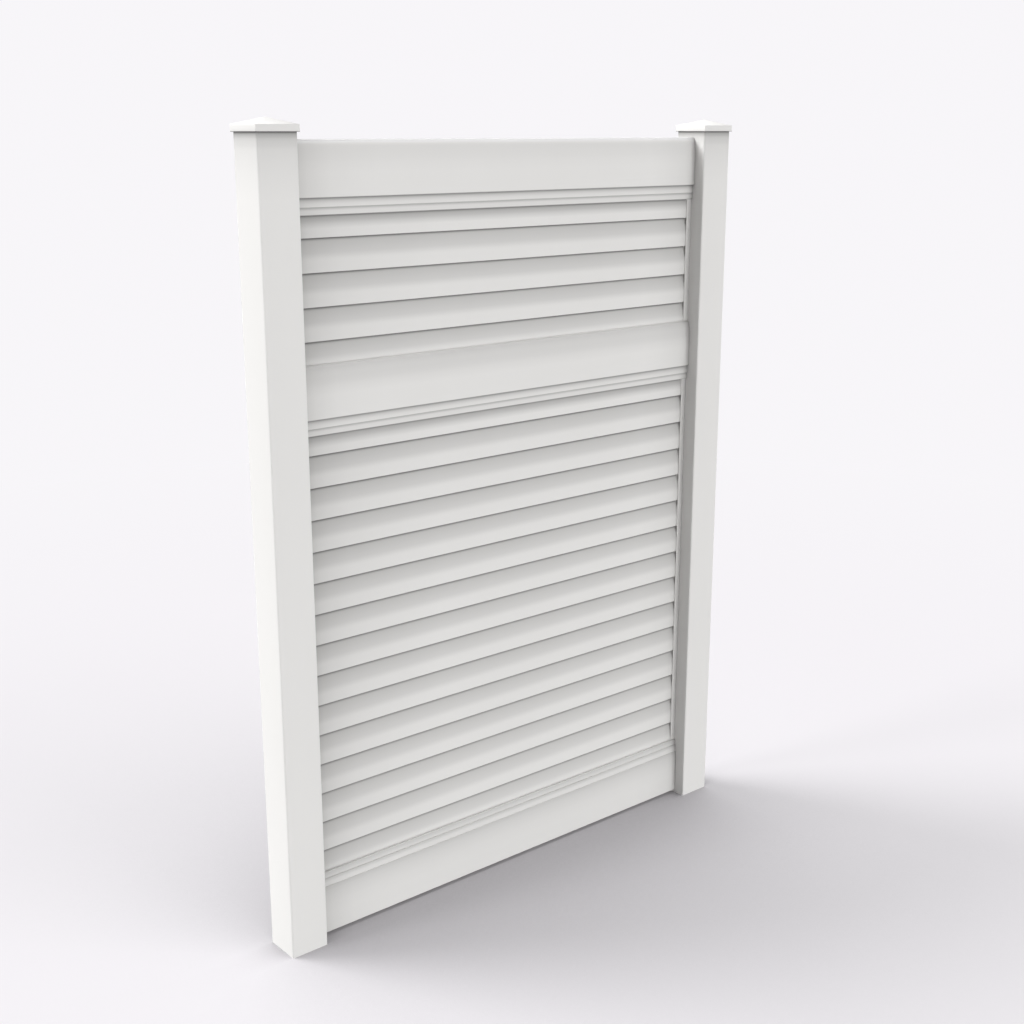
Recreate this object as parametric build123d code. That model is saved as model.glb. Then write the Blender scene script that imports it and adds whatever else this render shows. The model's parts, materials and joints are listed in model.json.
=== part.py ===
"""Horizontal privacy fence section: two hollow posts, three hollow rails and two fields of
lapped louvres, all extruded vinyl, with pyramid caps on the posts.

Frame: origin on the ground midway between the posts, X along the fence, Y from the front
to the back, Z up. Millimetres.
"""
import os
from math import asin, cos, sin

from build123d import *

os.makedirs("parts", exist_ok=True)

# Layout of the section
post_pitch = 1740.0
panel_height = 2438.4
ground_gap = 12.0
mid_rail_share = 0.71865

# Posts: square tube
post_width = 127.0
post_wall = 3.8
post_corner = 6.0
post_above_rail = 36.6

# Post caps: moulded, with a skirt round the post and a low hollow pyramid
cap_overhang = 5.0
cap_wall = 2.5
cap_grip = 17.0
cap_skirt = 20.0
cap_edge = 1.2
cap_rise = 19.0
cap_tip = 5.0
cap_fit = 0.2

# Rails: a deep hollow face with two narrower bands along the louvre side
rail_thickness = 44.4
rail_face_height = 159.2
outer_band_height = 26.4
inner_band_height = 21.4
outer_band_step = 4.4
inner_band_step = 2.4
rail_wall = 2.6
rail_web = 2.2
rail_top_radius = 10.0
rail_foot_radius = 3.0
rail_edge_radius = 1.2
crowned_lean_height = 64.0
crowned_lean_setback = 4.5
base_lean_height = 60.0
base_lean_setback = 2.8
rail_mid_web_height = 104.0
rail_engagement = 18.0
mortise_fit = 0.25

# Snap lugs on the rail ends, which catch behind the post wall
lug_length = 10.0
lug_depth = 2.6
lug_height = 30.0
lug_gap = 0.4

# Weep slots in the underside of the bottom rail
weep_length = 22.0
weep_width = 6.0
weep_spacing = 480.0
weep_count = 3

# Metal stiffener in the bottom rail, an upside-down channel
stiffener_wall = 1.6
stiffener_height = 42.0
stiffener_fit = 0.5

# Louvres: hollow slats, upright along the lower edge and leaning back above it
lower_louvre_count = 15
upper_louvre_count = 5
louvre_thickness = 7.0
louvre_wall = 1.6
louvre_rib = 1.4
louvre_flat_share = 0.34
louvre_overlap = 14.5
louvre_edge_radius = 1.8
louvre_back_radius = 1.0
louvre_joint_gap = 1.0
louvre_ledge = 2.0
louvre_end_gap = 3.0
stack_fit = 0.2

# Share of the top louvre's pitch that shows below the rail above it
lower_top_share = 0.6
upper_top_share = 0.64

# How deep the lowest louvre of each field stands in the rail under it, and how deep the
# highest one's pocket is in the rail above it
lower_seat_depth = 23.6
upper_seat_depth = 30.6
pocket_depth = 23.8
trim_gap = 1.2
pocket_fit = 0.25

# Side channels that hold the louvre ends
channel_wall = 2.0
channel_depth = 22.0
channel_fit = 0.15
channel_end_fit = 0.2

# How far every cut runs past the face that it goes through
overrun = 5.0

# Places worked out from the sizes above
clear_width = post_pitch - post_width
half_clear = clear_width / 2
rail_height = rail_face_height + outer_band_height + inner_band_height
bottom_rail_base = ground_gap
top_rail_base = ground_gap + panel_height - rail_height
mid_rail_base = ground_gap + mid_rail_share * (panel_height - rail_height)
post_height = ground_gap + panel_height + post_above_rail
rail_length = clear_width + 2 * (post_wall + rail_engagement)
half_rail = rail_thickness / 2
half_outer_band = half_rail - outer_band_step
half_inner_band = half_outer_band - inner_band_step
louvre_length = clear_width - 2 * (channel_wall + louvre_end_gap)

lower_first_edge = bottom_rail_base + rail_height - lower_seat_depth
upper_first_edge = mid_rail_base + rail_height - upper_seat_depth


class Lap:
    """How the louvres of one field lap at their pitch, which fills the field."""

    def __init__(self, first_edge, rail_above, count, top_share):
        self.first_edge = first_edge
        self.ceiling = rail_above + pocket_depth - trim_gap
        self.count = count
        self.pitch = (rail_above - first_edge) / (count - 1 + top_share)
        self.flat = louvre_flat_share * self.pitch
        # The face leans back on an arc by one slat and its joint gap per pitch
        self.rise = self.pitch - self.flat
        setback = louvre_thickness + louvre_joint_gap
        self.radius = (self.rise**2 + setback**2) / (2 * setback)
        self.angle = asin(self.rise / self.radius)
        self.top_length = (louvre_overlap - stack_fit) / cos(self.angle)
        lean = setback + self.top_length * sin(self.angle)
        self.depth = lean + louvre_thickness * cos(self.angle)
        self.front = -self.depth / 2


lower_lap = Lap(lower_first_edge, mid_rail_base, lower_louvre_count, lower_top_share)
upper_lap = Lap(upper_first_edge, top_rail_base, upper_louvre_count, upper_top_share)
lap_depth = max(lower_lap.depth, upper_lap.depth)
half_slot = lap_depth / 2 + pocket_fit
half_channel_inside = lap_depth / 2 + channel_fit


def save(shape, name):
    """Write one node of the section."""
    shape.label = name
    export_step(shape, os.path.join("parts", name + ".step"))


def along_x(section, length):
    """Extrude a section drawn in Y and Z along X, centred on the section's middle."""
    return extrude(Plane.YZ.offset(-length / 2) * section, amount=length)


def mirrored_face(half):
    """A closed face from the edges on one side of the vertical axis."""
    return make_face(half + mirror(half, about=Plane.YZ))


def rounded(face, corners, radius):
    """Round the corners of a face next to these points, on both sides of the axis."""
    picked = []
    for across, up in corners:
        for side in (-across, across):
            picked.append(face.vertices().sort_by_distance((side, up, 0))[0])
    return fillet(picked, radius)


def leaning_side(foot, rise, setback, inset):
    """A rail side that starts upright at foot and leans in by setback over rise."""
    radius = (rise**2 + setback**2) / (2 * setback)
    centre = (foot[0] + inset - radius, foot[1])
    reach = asin((rise - inset) / (radius - inset))
    points = []
    for angle in (0, reach / 2, reach):
        across = centre[0] + (radius - inset) * cos(angle)
        points.append((across, centre[1] + (radius - inset) * sin(angle)))
    return ThreePointArc(*points)


def crowned_outline(inset):
    """Section of the top and mid rails, bands down, with its walls moved in by inset."""
    ledge_low = inner_band_height + inset
    ledge_high = inner_band_height + outer_band_height + inset
    foot = (half_rail - inset, rail_height - crowned_lean_height)
    side = leaning_side(foot, crowned_lean_height, crowned_lean_setback, inset)
    steps = Polyline(
        (0, inset),
        (half_inner_band - inset, inset),
        (half_inner_band - inset, ledge_low),
        (half_outer_band - inset, ledge_low),
        (half_outer_band - inset, ledge_high),
        (half_rail - inset, ledge_high),
        foot,
    )
    crown = side @ 1
    face = mirrored_face(steps + side + Line(crown, (0, crown.Y)))
    return rounded(face, [(crown.X, crown.Y)], rail_top_radius - inset)


def crowned_skin():
    """Outline of a crowned rail with the edges of its bands eased."""
    corners = [
        (half_inner_band, 0),
        (half_outer_band, inner_band_height),
        (half_rail, inner_band_height + outer_band_height),
    ]
    return rounded(crowned_outline(0), corners, rail_edge_radius)


def base_outline(inset):
    """Section of the bottom rail, bands up, with its walls moved in by inset."""
    ledge_high = rail_face_height + outer_band_height - inset
    foot = (half_rail - inset, rail_face_height - base_lean_height)
    side = leaning_side(foot, base_lean_height, base_lean_setback, inset)
    shoulder = side @ 1
    start = Polyline((0, inset), (half_rail - inset, inset), foot)
    steps = Polyline(
        shoulder,
        (half_outer_band - inset, shoulder.Y),
        (half_outer_band - inset, ledge_high),
        (half_inner_band - inset, ledge_high),
        (half_inner_band - inset, rail_height - inset),
        (0, rail_height - inset),
    )
    face = mirrored_face(start + side + steps)
    return rounded(face, [(half_rail - inset, inset)], rail_foot_radius - inset)


def base_skin():
    """Outline of the bottom rail with the edges of its face and bands eased."""
    corners = [
        (half_rail - base_lean_setback, rail_face_height),
        (half_outer_band, rail_face_height + outer_band_height),
        (half_inner_band, rail_height),
    ]
    return rounded(base_outline(0), corners, rail_edge_radius)


def web(low):
    """A level web right across the rail, to be trimmed to its cavity."""
    middle = low + rail_web / 2
    return Pos(0, middle) * Rectangle(rail_thickness, rail_web)


def slot(level):
    """The slot in a rail's wall at this level, which the louvres pass."""
    return Pos(0, level) * Rectangle(2 * half_slot, 2 * (rail_wall + overrun))


def lugs(base, face_middle):
    """Wedges on both faces at both rail ends, which spring out behind the post wall."""
    catch = half_clear + post_wall + lug_gap
    wedge = Polyline(
        (catch, half_rail - rail_wall / 2),
        (catch, half_rail + lug_depth),
        (catch + lug_length, half_rail),
        (catch + lug_length, half_rail - rail_wall / 2),
        close=True,
    )
    low = Plane.XY.offset(base + face_middle - lug_height / 2)
    one = extrude(low * make_face(wedge), amount=lug_height)
    front_and_back = one + mirror(one, about=Plane.XZ)
    return front_and_back + mirror(front_and_back, about=Plane.YZ)


def rail(skin, cavity, web_levels, slot_levels, base, face_middle):
    """A hollow rail from its outlines, its inner webs and its slots."""
    for level in web_levels:
        cavity -= web(level)
    section = skin - cavity
    for level in slot_levels:
        section -= slot(level)
    body = along_x(Pos(0, base) * section, rail_length)
    return body + lugs(base, face_middle)


def crowned_rail(base, with_upper_slot):
    """The top rail, or the mid rail, which has a second slot along its top."""
    webs = [pocket_depth, rail_mid_web_height]
    slots = [0]
    if with_upper_slot:
        webs.append(rail_height - upper_seat_depth - stack_fit - rail_web)
        slots.append(rail_height)
    band_height = inner_band_height + outer_band_height
    face_middle = (band_height + rail_height - crowned_lean_height) / 2
    return rail(
        crowned_skin(), crowned_outline(rail_wall), webs, slots, base, face_middle
    )


def weep_slots():
    """Cutters for the drain slots in the underside of the bottom rail."""
    shape = SlotOverall(weep_length, weep_width)
    low = bottom_rail_base - overrun
    first = -weep_spacing * (weep_count - 1) / 2
    cutters = []
    for index in range(weep_count):
        place = Pos(first + index * weep_spacing, 0, low)
        cutters.append(place * extrude(shape, amount=rail_wall + overrun + overrun))
    return cutters


def bottom_rail():
    """The bottom rail, with its bands up and drain slots in its underside."""
    seat = rail_height - lower_seat_depth - stack_fit - rail_web
    webs = [stiffener_fit + rail_wall + stiffener_height, seat]
    body = rail(
        base_skin(),
        base_outline(rail_wall),
        webs,
        [rail_height],
        bottom_rail_base,
        (rail_face_height - base_lean_height) / 2,
    )
    for cutter in weep_slots():
        body -= cutter
    return body


def stiffener():
    """Metal channel that stands on its two legs inside the bottom rail."""
    width = rail_thickness - 2 * (rail_wall + stiffener_fit)
    floor = bottom_rail_base + rail_wall
    outside = Pos(0, floor + stiffener_height / 2) * Rectangle(width, stiffener_height)
    inner_height = stiffener_height - stiffener_wall
    inside = Rectangle(width - 2 * stiffener_wall, inner_height)
    section = outside - Pos(0, floor + inner_height / 2) * inside
    return along_x(section, rail_length)


def louvre_outline(lap, inset):
    """Section of a slat from its lower edge up, with its walls moved in by inset."""
    centre = (lap.front + lap.radius, lap.flat)
    face_radius = lap.radius - inset
    back_radius = lap.radius - louvre_thickness + inset
    top = lap.top_length - inset

    def on_arc(radius, angle):
        return (centre[0] - radius * cos(angle), centre[1] + radius * sin(angle))

    def tip(radius):
        end = on_arc(radius, lap.angle)
        return (end[0] + top * sin(lap.angle), end[1] + top * cos(lap.angle))

    def arc(radius):
        return ThreePointArc(
            on_arc(radius, 0), on_arc(radius, lap.angle / 2), on_arc(radius, lap.angle)
        )

    face_foot = (on_arc(face_radius, 0)[0], inset)
    back_foot = (on_arc(back_radius, 0)[0], inset)
    return make_face(
        Line(face_foot, on_arc(face_radius, 0))
        + arc(face_radius)
        + Line(on_arc(face_radius, lap.angle), tip(face_radius))
        + Line(tip(face_radius), tip(back_radius))
        + Line(tip(back_radius), on_arc(back_radius, lap.angle))
        + arc(back_radius)
        + Line(on_arc(back_radius, 0), back_foot)
        + Line(back_foot, face_foot)
    )


def louvre_section(lap):
    """A hollow slat with inner ribs and the ledge that rests on the slat below it."""
    outside = louvre_outline(lap, 0)
    foot = outside.vertices().group_by(Axis.Y)[0].sort_by(Axis.X)
    outside = fillet(foot[0], louvre_edge_radius)
    foot = outside.vertices().group_by(Axis.Y)[0].sort_by(Axis.X)
    outside = fillet(foot[-1], louvre_back_radius)
    cavity = louvre_outline(lap, louvre_wall)
    rib_levels = [lap.flat, lap.flat + lap.rise / 2, lap.pitch]
    for level in rib_levels:
        cavity -= Pos(0, level) * Rectangle(lap.depth, louvre_rib)
    behind = lap.front + louvre_thickness - louvre_wall / 2
    ledge_width = -lap.front - behind
    ledge_middle = louvre_overlap + louvre_ledge / 2
    ledge = Pos(behind + ledge_width / 2, ledge_middle) * Rectangle(ledge_width, louvre_ledge)
    return outside + ledge - cavity


def louvre(lap, section, edge_height):
    """One slat with its lower edge at this height, ripped down if it would pass the ceiling."""
    body = along_x(Pos(0, edge_height) * section, louvre_length)
    top = lap.pitch + louvre_overlap
    if edge_height + top > lap.ceiling:
        waste = Box(
            louvre_length + overrun,
            lap.depth + overrun,
            top,
            align=(Align.CENTER, Align.CENTER, Align.MIN),
        )
        body -= Pos(0, 0, lap.ceiling) * waste
    return body


def field(name, lap):
    """Save one field of louvres, numbered from the top down."""
    section = louvre_section(lap)
    for index in range(lap.count):
        edge = lap.first_edge + index * lap.pitch
        save(louvre(lap, section, edge), f"{name}_louvre_{lap.count - index:02d}")


def channel(low, high):
    """Left side channel between two rails, open towards the louvres."""
    outside_half = half_channel_inside + channel_wall
    start = -half_clear
    middle = start + channel_depth / 2
    outside = Pos(middle, 0) * Rectangle(channel_depth, 2 * outside_half)
    inside = Pos(middle + channel_wall, 0) * Rectangle(channel_depth, 2 * half_channel_inside)
    section = outside - inside
    tips = section.vertices().group_by(Axis.X)[-1]
    section = fillet(tips, channel_wall / 3)
    return extrude(Plane.XY.offset(low) * section, amount=high - low)


def post():
    """The left post: a square tube with a mortise for each rail."""
    outside = RectangleRounded(post_width, post_width, post_corner)
    bore = post_width - 2 * post_wall
    inside = RectangleRounded(bore, bore, post_corner - post_wall)
    tube = extrude(outside - inside, amount=post_height)
    body = Pos(-post_pitch / 2, 0, 0) * tube
    for skin, height in (
        (base_skin(), bottom_rail_base),
        (crowned_skin(), mid_rail_base),
        (crowned_skin(), top_rail_base),
    ):
        mortise = offset(Pos(0, height) * skin, amount=mortise_fit)
        body -= along_x(mortise, rail_length)
    return body


def taper(low, low_width, high, high_width):
    """A square block whose sides lean in from one level to another."""
    side = Polyline(
        (-low_width / 2, low),
        (low_width / 2, low),
        (high_width / 2, high),
        (-high_width / 2, high),
        close=True,
    )
    ridge = extrude(Plane.XZ * make_face(side), amount=low_width, both=True)
    return ridge & ridge.rotate(Axis.Z, 90)


def post_cap():
    """Moulded cap: a skirt that grips the post, a step that sits on it, a hollow roof."""
    width = post_width + 2 * cap_overhang
    skirt = extrude(Rectangle(width, width), amount=cap_skirt - cap_edge)
    skirt = chamfer(skirt.edges().filter_by(Axis.Z), cap_edge)
    eaves_width = width - 2 * cap_edge
    eaves = taper(cap_skirt - cap_edge, width, cap_skirt, eaves_width)
    roof = taper(cap_skirt, eaves_width, cap_skirt + cap_rise, cap_tip)
    grip_width = post_width + 2 * cap_fit
    grip = extrude(Rectangle(grip_width, grip_width), amount=cap_grip)
    bore = post_width - 2 * post_wall
    slope = cap_rise / (eaves_width - cap_tip)
    hollow_top = cap_skirt + cap_rise - cap_wall
    hollow_low = hollow_top - slope * (bore - cap_tip)
    hollow = extrude(Rectangle(bore, bore), amount=hollow_low)
    hollow += taper(hollow_low, bore, hollow_top, cap_tip)
    return skirt + eaves + roof - grip - hollow


lower_span = (
    bottom_rail_base + rail_height + channel_end_fit,
    mid_rail_base - channel_end_fit,
)
upper_span = (
    mid_rail_base + rail_height + channel_end_fit,
    top_rail_base - channel_end_fit,
)

left_post = post()
save(left_post, "left_post")
save(mirror(left_post, about=Plane.YZ), "right_post")

cap = post_cap()
cap_base = post_height - cap_grip
save(Pos(-post_pitch / 2, 0, cap_base) * cap, "left_post_cap")
save(Pos(post_pitch / 2, 0, cap_base) * cap, "right_post_cap")

save(crowned_rail(top_rail_base, False), "top_rail")
save(crowned_rail(mid_rail_base, True), "mid_rail")
save(bottom_rail(), "bottom_rail")
save(stiffener(), "bottom_rail_stiffener")

field("upper", upper_lap)
field("lower", lower_lap)

for name, span in (("lower", lower_span), ("upper", upper_span)):
    left_channel = channel(*span)
    save(left_channel, f"{name}_left_channel")
    save(mirror(left_channel, about=Plane.YZ), f"{name}_right_channel")
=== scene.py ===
"""Scene for the horizontal privacy fence section: white vinyl posts, caps, rails and
lapped louvres on a pale floor. Metres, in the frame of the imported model.
"""

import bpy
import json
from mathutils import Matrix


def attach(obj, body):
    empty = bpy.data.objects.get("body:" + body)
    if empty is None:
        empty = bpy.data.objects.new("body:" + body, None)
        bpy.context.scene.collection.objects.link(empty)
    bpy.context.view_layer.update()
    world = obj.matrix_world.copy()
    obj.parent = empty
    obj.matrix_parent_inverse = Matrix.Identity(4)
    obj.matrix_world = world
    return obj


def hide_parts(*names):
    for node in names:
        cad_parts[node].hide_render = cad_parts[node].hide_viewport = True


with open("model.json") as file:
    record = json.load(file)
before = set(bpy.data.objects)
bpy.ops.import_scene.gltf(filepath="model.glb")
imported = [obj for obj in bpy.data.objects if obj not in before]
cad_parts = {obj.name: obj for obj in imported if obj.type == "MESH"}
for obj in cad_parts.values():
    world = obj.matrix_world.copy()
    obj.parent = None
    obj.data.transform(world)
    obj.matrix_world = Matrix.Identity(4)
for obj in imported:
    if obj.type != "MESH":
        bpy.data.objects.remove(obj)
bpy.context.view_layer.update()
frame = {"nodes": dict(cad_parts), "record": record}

import json
from math import acos, asin, cos, pi, radians, sin

import bmesh
import bpy
from mathutils import Vector

# Posts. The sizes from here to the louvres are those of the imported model, but for the
# radius of the louvres' front edge and the recess in their ends.
post_pitch = 1.740
post_width = 0.127
post_wall = 0.0038
post_corner = 0.006
post_corner_segments = 8
post_height = 2.487
left = -post_pitch / 2
half_clear = (post_pitch - post_width) / 2

# Caps
cap_width = 0.137
cap_skirt = 0.020
cap_edge = 0.0012
cap_edge_segments = 4
cap_rise = 0.019
cap_tip = 0.005
cap_wall = 0.0025
cap_grip = 0.017
cap_fit = 0.0002
cap_base = post_height - cap_grip

# Rails, each a deep face with two stepped bands on the louvre side
half_rail = 0.0222
half_outer_band = 0.0178
half_inner_band = 0.0154
rail_face_height = 0.1592
outer_band_height = 0.0264
inner_band_height = 0.0214
band_top = inner_band_height + outer_band_height
rail_height = rail_face_height + band_top
rail_length = 1.6566
rail_wall = 0.0026
rail_edge_radius = 0.0012
rail_edge_segments = 3
rail_bases = {"bottom_rail": 0.012, "mid_rail": 1.6156, "top_rail": 2.2434}
mortise_fit = 0.00025

# The top and mid rails lean in to a rounded crown
crowned_lean = 0.064
crowned_setback = 0.0045
crowned_lean_steps = 16
crown_radius = 0.010
crown_start = radians(8)
crown_steps = 7
crown_draw_in = 0.0011
crown_clearance = 0.001

# The bottom rail has a rounded foot and leans in to its bands
base_lean = 0.060
base_setback = 0.0028
base_lean_steps = 12
foot_radius = 0.003
foot_steps = 4

# Inside the rails, at levels above their bases
rail_web = 0.0022
web_levels = {
    "bottom_rail": (0.0451, 0.1810),
    "mid_rail": (0.0238, 0.1040, 0.1740),
    "top_rail": (0.0238, 0.1040),
}
lug_start = 0.8107
lug_length = 0.010
lug_depth = 0.0026
lug_height = 0.030
lug_levels = {"bottom_rail": 0.0496, "mid_rail": 0.0954, "top_rail": 0.0954}
weep_length = 0.022
weep_width = 0.006
weep_spacing = 0.480
weep_count = 3

# The slots that the louvres pass. In a crown they take in the strips beside its flat, whose
# middles lie no further than this below its top.
half_slot = 0.009453
slot_drop = 0.0003

# Louvres, upright along the lower edge and leaning back on an arc above it
slat_length = 1.603
slat_thickness = 0.007
slat_front = -0.009203
slat_back = slat_front + slat_thickness
slat_flat = 0.03307
slat_radius = 0.2616
slat_angle = radians(14.2)
slat_steps = 18
slat_overlap = 0.0143
slat_edge_radius = 0.0010
slat_edge_segments = 5
slat_back_radius = 0.0010
slat_back_segments = 3
slat_end_rim = 0.0009
slat_end_depth = 0.012
ledge_low = 0.0145
ledge_high = 0.0165
slat_in_pocket = 0.0226

# Fields of louvres: lowest edge, pitch, number, and the height of the pocket's ceiling
fields = {
    "lower": (0.1954, 0.097274, 15, 1.6382),
    "upper": (1.7920, 0.097285, 5, 2.2660),
}

# Screws that hold the side channels to the posts
screw_head_radius = 0.0034
screw_head = 0.0022
screw_head_round = 0.0011
screw_head_segments = 5
screw_shank_radius = 0.0017
screw_length = 0.012
recess_arm = 0.0019
recess_half = 0.0004
recess_depth = 0.0012
recess_narrowing = 0.8
web_face = 0.8045
screw_levels = {"lower": (0.279, 0.917, 1.555), "upper": (1.872, 2.033, 2.193)}

# Shaping. Mostly and nearly are what a normal's part along an axis has to exceed.
round_sides = 32
touching = 2e-5
mostly = 0.5
nearly = 0.9
smooth_angle = radians(30)

# Camera that was fitted to the photograph
camera_place = (-2.9274, -3.4858, 2.4730)
camera_yaw = radians(40.05)
camera_dip = radians(14.97)
camera_lens = 50.15
camera_sensor = 36.0
camera_reach = 200.0

# Floor and backdrop. The floor's glow fades where the room above it is shut off, and the
# floor turns into the backdrop between two distances from the fence.
floor_size = 60.0
floor_shut = 0.40
floor_full = 0.90
floor_glow = 0.475
floor_matt = (0.383, 0.371, 0.387)
floor_bounce = 0.20
floor_fade = (2.6, 6.5)
room_reach = 12.0
room_samples = 16
room_light = 0.21
backdrop_colour = (0.935, 0.92, 0.945)
seen_rays = ("Is Camera Ray", "Is Glossy Ray", "Is Transmission Ray")

# Studio light. The lamps are suns, so where they stand makes no difference. For each one:
# degrees round from the back towards the left, degrees up, degrees of spread, and strength.
lamp_place = (0, 0, 6)
lamps = [
    ("key light", 40, 45, 30, 2.45),
    ("left light", 80, 12, 16, 1.66),
    ("light off the floor", 190, -35, 44, 1.95),
    ("front light", 207, 40, 40, 0.80),
    ("top light", 180, 84, 30, 0.76),
]

bpy.ops.object.select_all(action="DESELECT")


class Socket:
    """A shader socket that takes part in sums as a number does."""

    def __init__(self, shader, output):
        self.shader = shader
        self.output = output

    def _with(self, operation, first, second):
        return self.shader.add("ShaderNodeMath", {"operation": operation}, {0: first, 1: second})

    def __add__(self, other):
        return self._with("ADD", self, other)

    def __radd__(self, other):
        return self._with("ADD", other, self)

    def __sub__(self, other):
        return self._with("SUBTRACT", self, other)

    def __rsub__(self, other):
        return self._with("SUBTRACT", other, self)

    def __mul__(self, other):
        return self._with("MULTIPLY", self, other)

    def __rmul__(self, other):
        return self._with("MULTIPLY", other, self)

    def __abs__(self):
        return self._with("ABSOLUTE", self, 0.0)

    def between(self, low, high):
        """0 at low, 1 at high, straight between them and held beyond them."""
        return self.shader.add(
            "ShaderNodeMapRange",
            {"clamp": True},
            {"Value": self, "From Min": low, "From Max": high},
            "Result",
        )


class Shader:
    """The node tree of one material or of the world."""

    def __init__(self, owner):
        owner.use_nodes = True
        self.owner = owner
        self.tree = owner.node_tree

    def add(self, kind, settings=None, inputs=None, output=0):
        """Add a node, set it up, feed its sockets, and return one of its outputs."""
        node = self.tree.nodes.new(kind)
        for key, value in (settings or {}).items():
            if key == "stops":
                self._set_stops(node.color_ramp.elements, value)
            else:
                setattr(node, key, value)
        for key, value in (inputs or {}).items():
            self.feed(node.inputs[key], value)
        return Socket(self, node.outputs[output])

    def feed(self, socket, value):
        """Link a Socket to a node's input, or set the input to a plain value."""
        if isinstance(value, Socket):
            self.tree.links.new(value.output, socket)
        elif isinstance(value, tuple) and len(value) == 3 and len(socket.default_value) == 4:
            socket.default_value = (*value, 1.0)
        else:
            socket.default_value = value

    def _set_stops(self, elements, stops):
        while len(elements) < len(stops):
            elements.new(0.5)
        for element, (place, share) in zip(elements, stops):
            element.position = place
            element.color = (share, share, share, 1.0)

    def curve(self, value, points):
        """A share read off straight lines between (value, share) points."""
        low, high = points[0][0], points[-1][0]
        stops = [((place - low) / (high - low), share) for place, share in points]
        return self.add("ShaderNodeValToRGB", {"stops": stops}, {0: value.between(low, high)})

    def place(self):
        """Object coordinates."""
        return self.add("ShaderNodeTexCoord", None, None, "Object")

    def along(self, axis):
        """The place along one axis, X, Y or Z."""
        return self.add("ShaderNodeSeparateXYZ", None, {0: self.place()}, axis)

    def kept(self, name):
        """A number that is kept on the mesh."""
        return self.add("ShaderNodeAttribute", {"attribute_name": name}, None, "Fac")

    def stretched(self, vector, scale):
        """A vector scaled by different amounts along its axes."""
        inputs = {0: vector, 1: scale}
        return self.add("ShaderNodeVectorMath", {"operation": "MULTIPLY"}, inputs)

    def noise(self, vector, scale, detail, roughness):
        """Noise from 0 to 1."""
        inputs = {"Vector": vector, "Scale": scale, "Detail": detail, "Roughness": roughness}
        return self.add("ShaderNodeTexNoise", None, inputs, "Fac")

    def mix(self, amount, first, second):
        """A colour between two colours."""
        inputs = {0: amount, 6: first, 7: second}
        return self.add("ShaderNodeMix", {"data_type": "RGBA"}, inputs, 2)

    def bump(self, height, strength, distance):
        """A normal from a height."""
        inputs = {"Height": height, "Strength": strength, "Distance": distance}
        return self.add("ShaderNodeBump", None, inputs, "Normal")

    def glow(self, strength):
        """Light given off in the backdrop's colour."""
        inputs = {"Color": backdrop_colour, "Strength": strength}
        return self.add("ShaderNodeEmission", None, inputs)

    def blend(self, amount, first, second):
        """A finish between two finishes."""
        return self.add("ShaderNodeMixShader", None, {0: amount, 1: first, 2: second})

    def seen(self):
        """1 for rays that look or mirror, 0 for rays that light."""
        rays = [self.add("ShaderNodeLightPath", None, None, ray) for ray in seen_rays]
        return (rays[0] + rays[1] + rays[2]).between(0.0, 1.0)

    def end_in(self, node_name, finish):
        """Make a finish the one that the tree's output node shows."""
        self.feed(self.tree.nodes[node_name].inputs["Surface"], finish)

    def dress(self, inputs):
        """Feed the Principled shader and return the material."""
        for name, value in inputs.items():
            self.feed(self.tree.nodes["Principled BSDF"].inputs[name], value)
        return self.owner


def new_shader(name):
    """The node tree of a new material."""
    return Shader(bpy.data.materials.new(name))


# Shaping by hand in edit mode


def select_only(piece):
    """Make a piece the only selected one, and the active one."""
    bpy.ops.object.select_all(action="DESELECT")
    bpy.context.view_layer.objects.active = piece
    piece.select_set(True)


def settle():
    """Move the selected piece's place, turn and scale into its mesh."""
    bpy.ops.object.transform_apply(location=True, rotation=True, scale=True)


def opened(name):
    """Name the new primitive, settle it, and open it in edit mode."""
    piece = bpy.context.object
    piece.name = name
    piece.data.name = name
    settle()
    bpy.ops.object.mode_set(mode="EDIT")
    return piece


def block(name, place, size):
    """A box-shaped start, open in edit mode."""
    bpy.ops.mesh.primitive_cube_add(size=1.0, location=place, scale=size)
    return opened(name)


def reopen(piece):
    """Open a finished piece again in edit mode."""
    select_only(piece)
    bpy.ops.object.mode_set(mode="EDIT")


def close():
    """Leave edit mode."""
    bpy.ops.object.mode_set(mode="OBJECT")


def pick(kind, test):
    """Select only the faces or edges of the open piece that pass a test."""
    bpy.ops.mesh.select_mode(type=kind)
    bpy.ops.mesh.select_all(action="DESELECT")
    data = bpy.context.edit_object.data
    mesh = bmesh.from_edit_mesh(data)
    for item in mesh.faces if kind == "FACE" else mesh.edges:
        if test(item):
            item.select_set(True)
    bmesh.update_edit_mesh(data)


def pick_faces(test):
    """Select only the faces whose middle and normal pass a test."""
    pick("FACE", lambda face: test(face.calc_center_median(), face.normal))


def pick_edges(test):
    """Select only the edges whose two ends both pass a test."""
    pick("EDGE", lambda edge: all(test(vertex.co) for vertex in edge.verts))


def near(value, target):
    """Whether two lengths are the same, but for rounding."""
    return abs(value - target) < touching


def pull(x=0.0, y=0.0, z=0.0):
    """Extrude the selected faces by this much."""
    bpy.ops.mesh.extrude_region_move(TRANSFORM_OT_translate={"value": (x, y, z)})


def pull_edges(x=0.0, y=0.0, z=0.0):
    """Extrude the selected edges by this much."""
    bpy.ops.mesh.extrude_edges_move(TRANSFORM_OT_translate={"value": (x, y, z)})


def widen(x=1.0, y=1.0, about=(0, 0, 0)):
    """Scale what is selected across, about a point."""
    bpy.ops.transform.resize(value=(x, y, 1), center_override=about)


def ease(radius, segments):
    """Round the selected edges."""
    bpy.ops.mesh.bevel(offset=radius, offset_type="OFFSET", segments=segments, affect="EDGES")


def split(place, normal, **settings):
    """Cut the whole open piece along a plane."""
    bpy.ops.mesh.select_all(action="SELECT")
    bpy.ops.mesh.bisect(plane_co=place, plane_no=normal, **settings)


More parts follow.
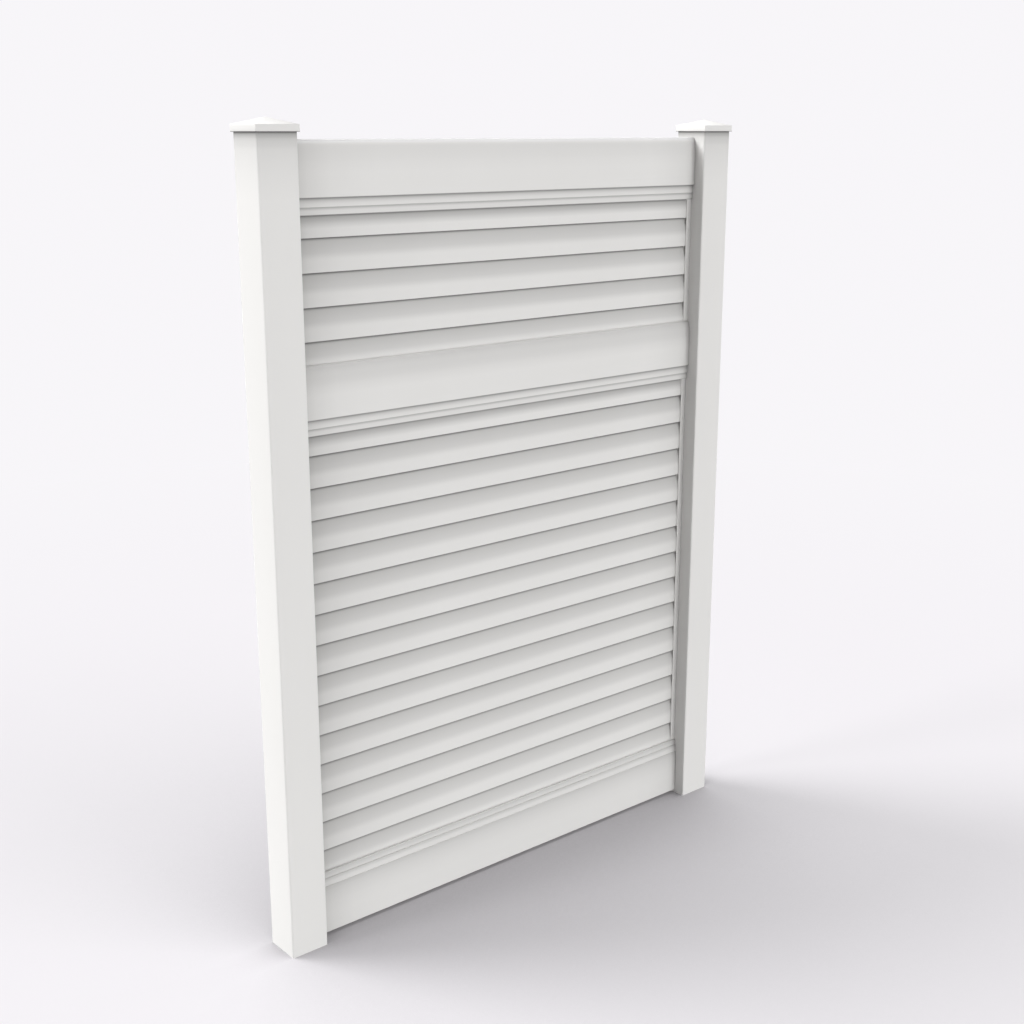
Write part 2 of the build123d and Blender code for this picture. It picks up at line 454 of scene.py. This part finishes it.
def face_outwards():
    """Turn every face of the open piece outwards."""
    bpy.ops.mesh.select_all(action="SELECT")
    bpy.ops.mesh.normals_make_consistent(inside=False)


def modify(piece, kind, **settings):
    """Give a piece a modifier and apply it."""
    bpy.context.view_layer.objects.active = piece
    modifier = piece.modifiers.new(kind.lower(), kind)
    for key, value in settings.items():
        setattr(modifier, key, value)
    bpy.ops.object.modifier_apply(modifier=modifier.name)


def thicken(piece, wall):
    """Give a shell its wall, inwards."""
    modify(piece, "SOLIDIFY", thickness=wall, offset=-1.0, use_even_offset=True)


def combine(piece, other, operation):
    """Join another piece to this one, or cut it out of it, and use it up."""
    modify(piece, "BOOLEAN", object=other, operation=operation, solver="EXACT")
    bpy.data.objects.remove(other)


def copied(piece, name):
    """A copy with its own mesh, left selected."""
    select_only(piece)
    bpy.ops.object.duplicate(linked=False)
    copy = bpy.context.object
    copy.name = name
    copy.data.name = name
    return copy


def shift(x=0.0, y=0.0, z=0.0):
    """Move the selected piece and settle the move in its mesh."""
    bpy.ops.transform.translate(value=(x, y, z))
    settle()


def turn(angle, axis):
    """Turn the selected piece about the origin and settle the turn in its mesh."""
    bpy.ops.transform.rotate(value=angle, orient_axis=axis, center_override=(0, 0, 0))
    settle()


def keep(piece, name, number_at):
    """Keep a number at every point of a piece, worked out from the point's place."""
    numbers = piece.data.attributes.new(name, "FLOAT", "POINT")
    for vertex, number in zip(piece.data.vertices, numbers.data):
        number.value = number_at(vertex.co)


def hand_in(piece, slot, node=None):
    """Smooth a finished piece, give it its material and its body, and hide the node that it stands
    in for.
    """
    select_only(piece)
    bpy.ops.object.shade_smooth_by_angle(angle=smooth_angle)
    piece.select_set(False)
    piece.data.materials.clear()
    piece.data.materials.append(materials[slot])
    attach(piece, "root")
    if node:
        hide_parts(node)


# Materials: rigid white vinyl with faint draw lines, with shade painted into its colour in
# joints and corners, under laps, caps and rails, and beside the posts
clean_darker = (0.845, 0.836, 0.816)
clean_lighter = (0.885, 0.877, 0.859)
# A whiter colour: a paler tone on the caps, and a painted highlight along the top rail's rounded
# top edge
whitened_colour = (0.985, 0.975, 0.975)
# Painted shade darkens the vinyl towards this colour
painted_shade_colour = (0.02, 0.019, 0.018)
vinyl_roughness = 0.42
rougher_in_draw_lines = 0.10
rougher_in_cloud = 0.05
# Where shade is painted, the vinyl is also a little rougher
rougher_in_painted_shade = 0.1
cap_roughness = 0.34
cap_bleaching = 0.04
# The channels' share of the vinyl's colour, all over
channel_share = 0.88
zinc_darker = (0.42, 0.44, 0.45)
zinc_lighter = (0.60, 0.62, 0.63)
zinc_roughness = 0.35
rougher_where_lighter = 0.25
zinc_metallic = 0.9

# Noise is told as scale, detail and roughness, and a bump as strength and distance
draw_line_stretch = 0.01
draw_line_noise = (420.0, 4.0, 0.6)
draw_line_bump = (0.06, 0.0004)
cloud_noise = (2.2, 3.0, 0.55)
spangle_scale = 90.0

# Levels and distances at which a change starts and ends
top_rail_start = (2.20, 2.24)
# Heights above the top rail's base over which a highlight is painted on its rounded top edge
top_rail_highlight = (0.194, 0.201)
near_the_ground = (1.5, 0.2)
channel_mouth = (0.782, 0.785)
cap_joint = 0.0024

# Near the ground the shade painted under a lap is lighter, and it reaches a little further down.
# Far below is past the end of the curves for laps and rails.
shade_lighter_near_the_ground = 0.2
shade_drop_reach = 0.0036
shade_drop_height = 2.2
far_below = 1.0

# The share of the colour left after painted shade, at distances in metres from a joint, a corner
# or a post, and for the curves up a rail at heights above its base
under_a_lap = [
    (0.0, 0.26), (0.0036, 0.33), (0.0060, 0.55), (0.0086, 0.70), (0.012, 0.725),
    (0.024, 0.75), (0.034, 0.78), (0.042, 0.805), (0.050, 0.885), (0.058, 0.97),
    (0.064, 0.995), (0.090, 1.0),
]
under_a_rail = [
    (0.0, 0.30), (0.0030, 0.46), (0.006, 0.59), (0.010, 0.64), (0.014, 0.67), (0.017, 0.71),
    (0.021, 0.78), (0.024, 0.83), (0.028, 0.88), (0.031, 0.925), (0.037, 1.0),
]
under_a_cap = [
    (-0.001, 0.16), (0.0015, 0.22), (0.0045, 0.45), (0.0075, 0.56), (0.0135, 0.64),
    (0.018, 0.74), (0.024, 0.79), (0.036, 0.83), (0.045, 0.885), (0.060, 0.91),
    (0.080, 0.935), (0.110, 0.96), (0.180, 1.0),
]
louvre_by_left_post = [
    (0.022, 0.53), (0.030, 0.58), (0.037, 0.64), (0.052, 0.715), (0.089, 0.805),
    (0.126, 0.857), (0.163, 0.90), (0.200, 0.92), (0.240, 0.94), (0.300, 0.96),
    (0.400, 0.98), (0.500, 1.0),
]
rail_by_left_post = [
    (0.0, 0.52), (0.008, 0.56), (0.016, 0.64), (0.028, 0.71), (0.050, 0.80), (0.090, 0.885),
    (0.126, 0.94), (0.200, 0.975), (0.300, 1.0),
]
by_right_post = [
    (0.0, 0.74), (0.020, 0.81), (0.050, 0.88), (0.085, 0.92), (0.150, 0.97), (0.220, 1.0),
]
up_the_bands = [
    (0.0, 0.34), (0.0011, 0.55), (0.0022, 0.93), (0.012, 0.94), (0.0154, 0.84), (0.0184, 0.68),
    (0.0213, 0.60), (0.0221, 0.63), (0.0230, 0.93), (0.024, 0.97), (0.031, 0.94), (0.034, 0.89),
    (0.037, 0.83), (0.041, 0.72), (0.044, 0.54), (0.0477, 0.34), (0.0486, 0.38), (0.0493, 0.80),
    (0.0505, 0.97), (0.0520, 1.0),
]
up_the_mid_rail = [
    (0.117, 1.0), (0.132, 0.965), (0.142, 0.94), (0.155, 0.885), (0.167, 0.86), (0.180, 0.85),
    (0.190, 0.82), (0.197, 0.79), (0.203, 0.84), (0.207, 0.92),
]
up_the_top_rail = [
    (0.117, 1.0), (0.142, 0.975), (0.155, 0.95), (0.180, 0.92), (0.188, 0.92), (0.195, 0.98),
    (0.200, 1.0), (0.2062, 1.0), (0.207, 0.60),
]
up_the_bottom_rail = [
    (0.0, 0.96), (0.064, 0.96), (0.098, 0.93), (0.125, 0.875), (0.142, 0.825), (0.151, 0.76),
    (0.1590, 0.73), (0.1593, 0.96), (0.171, 0.955), (0.175, 0.895), (0.178, 0.83), (0.181, 0.775),
    (0.1854, 0.73), (0.1857, 0.89), (0.191, 0.87), (0.195, 0.835), (0.199, 0.79), (0.203, 0.75),
    (0.2055, 0.77), (0.207, 0.84),
]


def vinyl(shader, grain_axis, unshaded_share, whitened=0.0, roughness=vinyl_roughness):
    """White rigid vinyl drawn along one axis. It turns to the whiter colour as its whitening goes
    to 1, and to the painted shade colour as its unshaded share goes to 0.
    """
    place = shader.place()
    stretch = [1.0, 1.0, 1.0]
    stretch[grain_axis] = draw_line_stretch
    draw_lines = shader.noise(shader.stretched(place, tuple(stretch)), *draw_line_noise)
    cloud = shader.noise(place, *cloud_noise)
    clean = shader.mix(cloud, clean_darker, clean_lighter)
    clean = shader.mix(whitened, clean, whitened_colour)
    rough = roughness + rougher_in_draw_lines * draw_lines + rougher_in_cloud * cloud
    rough = rough + rougher_in_painted_shade * (1 - unshaded_share)
    return shader.dress(
        {
            "Base Color": shader.mix(unshaded_share, painted_shade_colour, clean),
            "Roughness": rough,
            "Normal": shader.bump(draw_lines, *draw_line_bump),
        }
    )


def unshaded_between_posts(shader, by_left_post):
    """The share left by shade painted beside each post, by how far along the fence from it."""
    along = shader.along("X")
    from_left = shader.curve(half_clear + along, by_left_post)
    return from_left * shader.curve(half_clear - along, by_right_post)


def post_vinyl():
    """Vinyl of the posts, with shade painted under the caps."""
    shader = new_shader("post vinyl")
    return vinyl(shader, 2, shader.curve(cap_base - shader.along("Z"), under_a_cap))


def cap_vinyl():
    """Smoother vinyl of the moulded caps, with shade painted along the lower edge."""
    shader = new_shader("cap vinyl")
    unshaded_share = shader.along("Z").between(cap_base, cap_base + cap_joint)
    return vinyl(shader, 2, unshaded_share, cap_bleaching, cap_roughness)


def rail_vinyl():
    """Vinyl of the rails, with shade painted at the steps of their bands, down the upper part of
    each face and beside the posts, a darker flat top on the top rail, and a painted highlight along
    the top rail's rounded top edge.
    """
    shader = new_shader("rail vinyl")
    up = shader.kept("up_the_rail")
    crowned = shader.kept("crowned")
    top_rail = shader.along("Z").between(*top_rail_start)
    crown = top_rail * shader.curve(up, up_the_top_rail)
    crown = crown + (1 - top_rail) * shader.curve(up, up_the_mid_rail)
    unshaded_share = crowned * crown * shader.curve(up, up_the_bands)
    unshaded_share = unshaded_share + (1 - crowned) * shader.curve(up, up_the_bottom_rail)
    unshaded_share = unshaded_share * unshaded_between_posts(shader, rail_by_left_post)
    return vinyl(shader, 0, unshaded_share, whitened=top_rail * up.between(*top_rail_highlight))


def louvre_vinyl():
    """Vinyl of the louvres, with shade painted under each lap, lighter near the ground, under the
    rail above the top louvre and beside the posts, and none where they run into the channels.
    """
    shader = new_shader("louvre vinyl")
    lap = shader.curve(shader.kept("below_lap"), under_a_lap)
    low = shader.along("Z").between(*near_the_ground)
    lap = lap + shade_lighter_near_the_ground * (1 - lap) * low
    rail = shader.curve(shader.kept("below_rail"), under_a_rail)
    unshaded_share = lap * rail * unshaded_between_posts(shader, louvre_by_left_post)
    in_channel = abs(shader.along("X")).between(*channel_mouth)
    return vinyl(shader, 0, unshaded_share + (1 - unshaded_share) * in_channel)


def channel_vinyl():
    """Vinyl of the side channels, darker all over, with shade painted beside the left post."""
    shader = new_shader("channel vinyl")
    from_left = half_clear + shader.along("X")
    return vinyl(shader, 2, channel_share * shader.curve(from_left, rail_by_left_post))


def galvanised():
    """Dull galvanised sheet with a spangle."""
    shader = new_shader("galvanised sheet")
    grains = {"Vector": shader.place(), "Scale": spangle_scale}
    spangle = shader.add("ShaderNodeTexVoronoi", {"feature": "F1"}, grains, 1)
    tone = shader.add("ShaderNodeSeparateColor", None, {0: spangle}, 0)
    return shader.dress(
        {
            "Base Color": shader.mix(tone, zinc_darker, zinc_lighter),
            "Roughness": zinc_roughness + rougher_where_lighter * tone,
            "Metallic": zinc_metallic,
        }
    )


materials = {
    "post_vinyl": post_vinyl(),
    "cap_vinyl": cap_vinyl(),
    "rail_vinyl": rail_vinyl(),
    "louvre_vinyl": louvre_vinyl(),
    "channel_vinyl": channel_vinyl(),
    "galvanised_steel": galvanised(),
}

slots = {part["node"]: part["material_slot"] for part in frame["record"]["subparts"]}
for name, node in frame["nodes"].items():
    node.data.materials.clear()
    node.data.materials.append(materials[slots[name]])


# Shaping the rails


def leaning(foot, rise, setback, steps):
    """Points of a rail side that is upright at its foot and leans in above it."""
    radius = (rise**2 + setback**2) / (2 * setback)
    reach = asin(rise / radius)
    half, low = foot
    points = []
    for index in range(1, steps + 1):
        angle = reach * index / steps
        points.append((half - radius * (1 - cos(angle)), low + radius * sin(angle)))
    return points


def crowned_outline(spare=0.0):
    """Half widths and heights of the top and mid rails, from the bands up.

    Spare moves the outline outwards, for a mortise.
    """
    outline = [
        (half_inner_band + spare, -spare),
        (half_inner_band + spare, inner_band_height - spare),
        (half_outer_band + spare, inner_band_height - spare),
        (half_outer_band + spare, band_top - spare),
        (half_rail + spare, band_top - spare),
        (half_rail + spare, rail_height - crowned_lean),
    ]
    side = leaning(outline[-1], crowned_lean, crowned_setback, crowned_lean_steps)
    corner = rail_height - crown_radius
    outline += [point for point in side if point[1] < corner - crown_clearance]
    radius = crown_radius + spare
    centre = outline[-1][0] - crown_draw_in - crown_radius
    slot_angle = acos((half_slot - centre) / crown_radius)
    sweep = slot_angle - crown_start
    angles = [crown_start + sweep * index / crown_steps for index in range(crown_steps + 1)]
    for angle in (*angles, pi / 2):
        outline.append((centre + radius * cos(angle), corner + radius * sin(angle)))
    return outline


def base_outline(spare=0.0):
    """Half widths and heights of the bottom rail, from the ground up."""
    outline = []
    radius = foot_radius + spare
    for index in range(foot_steps + 1):
        angle = pi / 2 * index / foot_steps
        across = half_rail - foot_radius + radius * sin(angle)
        outline.append((across, foot_radius - radius * cos(angle)))
    foot = (half_rail + spare, rail_face_height - base_lean)
    side = leaning(foot, base_lean, base_setback, base_lean_steps)
    face_top = rail_face_height + spare
    ledge = rail_face_height + outer_band_height + spare
    outline += [
        foot,
        *side[:-1],
        (side[-1][0], face_top),
        (half_outer_band + spare, face_top),
        (half_outer_band + spare, ledge),
        (half_inner_band + spare, ledge),
        (half_inner_band + spare, rail_height + spare),
    ]
    return outline


def half_width(outline, level):
    """Half of an outline's width at this level."""
    for (half, low), (next_half, high) in zip(outline, outline[1:]):
        if low < high and low <= level <= high:
            return half + (next_half - half) * (level - low) / (high - low)


def drawn_up(name, outline, base, length):
    """A solid bar: a thin block whose top is pulled up through the points of an outline."""
    (half, low), (next_half, high) = outline[:2]
    middle = base + (low + high) / 2
    bar = block(name, (0, 0, middle), (length, 2 * half, high - low))
    pick_faces(lambda middle, normal: normal.z > mostly)
    widen(y=next_half / half)
    for (half, low), (next_half, high) in zip(outline[1:], outline[2:]):
        pull(z=high - low)
        widen(y=next_half / half)
    return bar


def cut_slot(level):
    """Open a slot for the louvres along a rail's wall at this level."""
    for side in (-1, 1):
        pick_faces(lambda middle, normal: near(middle.z, level) and abs(middle.y) < half_inner_band)
        bpy.ops.mesh.bisect(plane_co=(0, side * half_slot, 0), plane_no=(0, side, 0))
    pick_faces(
        lambda middle, normal: abs(middle.z - level) < slot_drop and abs(middle.y) < half_slot
    )
    bpy.ops.mesh.delete(type="FACE")


def add_webs(rail, outline, base, levels):
    """Join level webs to both walls of a rail from inside."""
    for level in levels:
        middle = level + rail_web / 2
        width = 2 * half_width(outline, middle) - rail_wall
        web = block("web", (0, 0, base + middle), (rail_length, width, rail_web))
        close()
        combine(rail, web, "UNION")


def add_lugs(rail, middle):
    """Join a snap lug to both faces at both rail ends, where they catch behind the post."""
    root = half_rail - rail_wall / 2
    tip = half_rail + lug_depth
    place = (lug_start + lug_length / 2, (root + tip) / 2, middle)
    lug = block("lug", place, (lug_length, tip - root, lug_height))
    pick_edges(lambda co: near(co.x, lug_start + lug_length) and near(co.y, tip))
    bpy.ops.transform.translate(value=(0, -lug_depth, 0))
    close()
    modify(lug, "MIRROR", use_axis=(True, True, False))
    combine(rail, lug, "UNION")


def cut_weeps(rail, base):
    """Open the row of drain slots in a rail's underside."""
    run = weep_length - weep_width
    start = -weep_spacing * (weep_count - 1) / 2 - run / 2
    bpy.ops.mesh.primitive_cylinder_add(
        vertices=round_sides, radius=weep_width / 2, depth=4 * rail_wall, location=(start, 0, base)
    )
    cutter = opened("weep")
    split((start, 0, 0), (1, 0, 0))
    pick_faces(lambda middle, normal: middle.x > start)
    pull(x=run)
    close()
    row = {"count": weep_count, "use_relative_offset": False, "use_constant_offset": True}
    modify(cutter, "ARRAY", constant_offset_displace=(weep_spacing, 0, 0), **row)
    combine(rail, cutter, "DIFFERENCE")


def hollow_rail(name, outline, slot_levels, edges):
    """A hollow rail with its webs, lugs and louvre slots, the edges of its bands eased."""
    base = rail_bases[name]
    rail = drawn_up(name + "_shell", outline, base, rail_length)
    pick_faces(lambda middle, normal: near(abs(middle.x), rail_length / 2))
    bpy.ops.mesh.delete(type="FACE")
    for level in slot_levels:
        cut_slot(base + level)
    face_outwards()
    close()
    thicken(rail, rail_wall)
    reopen(rail)
    for half, level in edges:
        pick_edges(lambda co: near(abs(co.y), half) and near(co.z, base + level))
        ease(rail_edge_radius, rail_edge_segments)
    close()
    add_webs(rail, outline, base, web_levels[name])
    add_lugs(rail, base + lug_levels[name])
    return rail


def crowned_rail(name, slot_levels):
    """The top or mid rail, whose bands are below its face."""
    edges = [
        (half_inner_band, 0),
        (half_outer_band, inner_band_height),
        (half_rail, band_top),
    ]
    return hollow_rail(name, crowned_outline(), slot_levels, edges)


def bottom_rail():
    """The bottom rail, whose bands are above its face, with its drain slots."""
    edges = [
        (half_rail - base_setback, rail_face_height),
        (half_outer_band, rail_face_height + outer_band_height),
        (half_inner_band, rail_height),
    ]
    rail = hollow_rail("bottom_rail", base_outline(), [rail_height], edges)
    cut_weeps(rail, rail_bases["bottom_rail"])
    return rail


rails = {
    "top_rail": crowned_rail("top_rail", [0]),
    "mid_rail": crowned_rail("mid_rail", [0, rail_height]),
    "bottom_rail": bottom_rail(),
}
for name, rail in rails.items():
    keep(rail, "up_the_rail", lambda co: co.z - rail_bases[name])
    keep(rail, "crowned", lambda co: float(name != "bottom_rail"))
    hand_in(rail, "rail_vinyl", name)


# Shaping the posts and caps


def post_tube():
    """The left post: a square tube with rounded corners and a mortise for each rail."""
    place = (left, 0, post_height / 2)
    post = block("left_post_tube", place, (post_width, post_width, post_height))
    pick_faces(lambda middle, normal: abs(normal.z) > mostly)
    bpy.ops.mesh.delete(type="FACE")
    pick("EDGE", lambda edge: edge.calc_length() > post_height / 2)
    ease(post_corner, post_corner_segments)
    close()
    thicken(post, post_wall)
    for name, base in rail_bases.items():
        outline = base_outline if name == "bottom_rail" else crowned_outline
        cutter = drawn_up("mortise", outline(mortise_fit), base, rail_length)
        close()
        combine(post, cutter, "DIFFERENCE")
    return post


def cap_shell():
    """The left cap: a skirt, an eased edge and a low pyramid, hollow underneath."""
    middle_line = (left, 0, 0)
    place = (left, 0, cap_base + cap_skirt / 2)
    cap = block("left_cap_shell", place, (cap_width, cap_width, cap_skirt))
    pick_faces(lambda middle, normal: normal.z > mostly)
    pull(z=cap_rise)
    widen(cap_tip / cap_width, cap_tip / cap_width, middle_line)
    pick_faces(lambda middle, normal: normal.z < -mostly)
    grip_width = post_width + 2 * cap_fit
    bpy.ops.mesh.inset(thickness=(cap_width - grip_width) / 2)
    pull(z=cap_grip)
    bore = post_width - 2 * post_wall
    bpy.ops.mesh.inset(thickness=(grip_width - bore) / 2)
    slope = cap_rise / (cap_width - 2 * cap_edge - cap_tip)
    hollow_rise = slope * (bore - cap_tip)
    pull(z=cap_skirt + cap_rise - cap_wall - hollow_rise - cap_grip)
    pull(z=hollow_rise)
    widen(cap_tip / bore, cap_tip / bore, middle_line)
    eave = cap_width / 2
    pick_edges(lambda co: near(max(abs(co.x - left), abs(co.y)), eave))
    ease(cap_edge, cap_edge_segments)
    close()
    return cap


post = post_tube()
right_post = copied(post, "right_post_tube")
turn(pi, "Z")
hand_in(post, "post_vinyl", "left_post")
hand_in(right_post, "post_vinyl", "right_post")

cap = cap_shell()
right_cap = copied(cap, "right_cap_shell")
shift(x=post_pitch)
hand_in(cap, "cap_vinyl", "left_post_cap")
hand_in(right_cap, "cap_vinyl", "right_post_cap")


# Shaping the louvres


def slat_face():
    """The front of a slat, drawn up its face from an upright start, facing the front."""
    bpy.ops.mesh.primitive_plane_add(
        size=1.0, location=(0, slat_front, slat_flat / 2), rotation=(pi / 2, 0, 0)
    )
    bpy.context.object.scale = (slat_length, slat_flat, 1)
    piece = opened("slat")
    pick_edges(lambda co: near(co.z, slat_flat))
    for index in range(slat_steps):
        low = slat_angle * index / slat_steps
        high = slat_angle * (index + 1) / slat_steps
        back = slat_radius * (cos(low) - cos(high))
        pull_edges(y=back, z=slat_radius * (sin(high) - sin(low)))
    reach = slat_overlap / cos(slat_angle)
    pull_edges(y=reach * sin(slat_angle), z=reach * cos(slat_angle))
    face_outwards()
    mesh = bmesh.from_edit_mesh(piece.data)
    mesh.faces.ensure_lookup_table()
    if mesh.faces[0].normal.y > 0:
        bpy.ops.mesh.flip_normals()
    close()
    return piece


def slat():
    """One slat with its lower edge at height 0, eased, with its ledge and recessed ends."""
    piece = slat_face()
    thicken(piece, slat_thickness)
    reopen(piece)
    pick_edges(lambda co: near(co.z, 0) and near(co.y, slat_front))
    ease(slat_edge_radius, slat_edge_segments)
    pick_edges(lambda co: near(co.z, 0) and near(co.y, slat_back))
    ease(slat_back_radius, slat_back_segments)
    for level in (ledge_low, ledge_high):
        split((0, 0, level), (0, 0, 1))
    pick_faces(
        lambda middle, normal: normal.y > nearly
        and near(middle.y, slat_back)
        and ledge_low < middle.z < ledge_high
    )
    pull(y=-slat_front - slat_back)
    for end in (-1, 1):
        pick_faces(lambda middle, normal: normal.x * end > nearly)
        bpy.ops.mesh.inset(thickness=slat_end_rim)
        pull(x=-end * slat_end_depth)
    close()
    return piece


def rip_down(piece, ceiling):
    """Cut off what would pass the ceiling of the pocket above."""
    reopen(piece)
    split((0, 0, ceiling), (0, 0, 1), use_fill=True, clear_outer=True)
    close()


pattern = slat()
for field, (first_edge, pitch, count, ceiling) in fields.items():
    for index in range(count):
        edge = first_edge + index * pitch
        number = f"{count - index:02d}"
        piece = copied(pattern, f"{field}_slat_{number}")
        shift(z=edge)
        if edge + pitch + slat_overlap > ceiling:
            rip_down(piece, ceiling)
        # Only the top louvre is under a rail, and only the others are under a lap
        under_rail = index == count - 1
        # The shade painted under a lap starts a little below the edge above it, the more so nearer
        # the ground
        shade_drop = shade_drop_reach * (1 - edge / shade_drop_height)
        lap = edge + pitch - shade_drop
        rail = ceiling - slat_in_pocket
        keep(piece, "below_lap", lambda co: far_below if under_rail else lap - co.z)
        keep(piece, "below_rail", lambda co: rail - co.z if under_rail else far_below)
        hand_in(piece, "louvre_vinyl", f"{field}_louvre_{number}")
bpy.data.objects.remove(pattern)


# Shaping the screws


def pan_head_screw():
    """A screw with a cross recess, its head upright and seated at height 0."""
    bpy.ops.mesh.primitive_cylinder_add(
        vertices=round_sides,
        radius=screw_head_radius,
        depth=screw_head,
        location=(0, 0, screw_head / 2),
    )
    piece = opened("screw")
    pick_faces(lambda middle, normal: normal.z < -mostly)
    bpy.ops.mesh.inset(thickness=screw_head_radius - screw_shank_radius)
    pull(z=-screw_length)
    pick_edges(lambda co: near(co.z, screw_head))
    ease(screw_head_round, screw_head_segments)
    for across in ((1, 0, 0), (0, 1, 0)):
        for level in (-recess_arm, -recess_half, recess_half, recess_arm):
            pick_faces(lambda middle, normal: normal.z > mostly and near(middle.z, screw_head))
            place = (across[0] * level, across[1] * level, 0)
            bpy.ops.mesh.bisect(plane_co=place, plane_no=across)
    pick_faces(
        lambda middle, normal: near(middle.z, screw_head)
        and min(abs(middle.x), abs(middle.y)) < recess_half
        and max(abs(middle.x), abs(middle.y)) < recess_arm
    )
    pull(z=-recess_depth)
    widen(recess_narrowing, recess_narrowing)
    close()
    return piece


pattern = pan_head_screw()
for side, end in ((-1, "left"), (1, "right")):
    turned = copied(pattern, "turned_screw")
    turn(side * pi / 2, "Y")
    shift(x=side * web_face)
    for field, levels in screw_levels.items():
        for number, level in enumerate(levels, 1):
            piece = copied(turned, f"{field}_{end}_channel_screw_{number}")
            shift(z=level)
            hand_in(piece, "galvanised_steel")
    bpy.data.objects.remove(turned)
bpy.data.objects.remove(pattern)


# Floor and world. What the camera sees of them is apart from how they light the fence.


def pale_floor():
    """Floor that keeps the fence's shade and turns into the backdrop far away."""
    shader = new_shader("pale floor")
    place = shader.place()
    away = shader.add("ShaderNodeVectorMath", {"operation": "LENGTH"}, {0: place}, "Value")
    reach = {"Distance": room_reach}
    sky = shader.add("ShaderNodeAmbientOcclusion", {"samples": room_samples}, reach, "AO")
    lit_by_room = shader.glow(floor_glow * sky.between(floor_shut, floor_full))
    matt = shader.add("ShaderNodeBsdfDiffuse", None, {"Color": floor_matt})
    close_by = shader.add("ShaderNodeAddShader", None, {0: lit_by_room, 1: matt})
    looked_at = shader.blend(away.between(*floor_fade), close_by, shader.glow(1.0))
    both = shader.blend(shader.seen(), shader.glow(floor_bounce), looked_at)
    shader.end_in("Material Output", both)
    return shader.owner


def studio():
    """World that shows the backdrop's colour and lights the fence more weakly."""
    world = bpy.data.worlds.new("studio")
    shader = Shader(world)
    shown = {"Color": backdrop_colour, "Strength": 1.0}
    backdrop = shader.add("ShaderNodeBackground", None, shown)
    room = shader.add("ShaderNodeBackground", None, {"Strength": room_light})
    shader.end_in("World Output", shader.blend(shader.seen(), room, backdrop))
    return world


bpy.ops.mesh.primitive_plane_add(size=floor_size, location=(0, 0, 0))
floor = bpy.context.object
floor.name = "floor"
floor.data.materials.append(pale_floor())
floor.visible_shadow = False
bpy.context.scene.world = studio()

# Lights
for name, round_left, up, spread, strength in lamps:
    bpy.ops.object.light_add(type="SUN", location=lamp_place)
    lamp = bpy.context.object
    lamp.name = name
    lamp.data.energy = strength
    lamp.data.angle = radians(spread)
    azimuth = radians(round_left)
    level = cos(radians(up))
    toward = Vector((-sin(azimuth) * level, cos(azimuth) * level, sin(radians(up))))
    lamp.rotation_euler = toward.to_track_quat("Z", "Y").to_euler()

# Camera
camera_data = bpy.data.cameras.new("camera")
camera_data.lens = camera_lens
camera_data.sensor_width = camera_sensor
camera_data.sensor_fit = "HORIZONTAL"
camera_data.clip_end = camera_reach
camera = bpy.data.objects.new("camera", camera_data)
bpy.context.scene.collection.objects.link(camera)
camera.location = camera_place
camera.rotation_euler = (pi / 2 - camera_dip, 0.0, -camera_yaw)
bpy.context.scene.camera = camera

bpy.context.scene.view_settings.view_transform = "Standard"
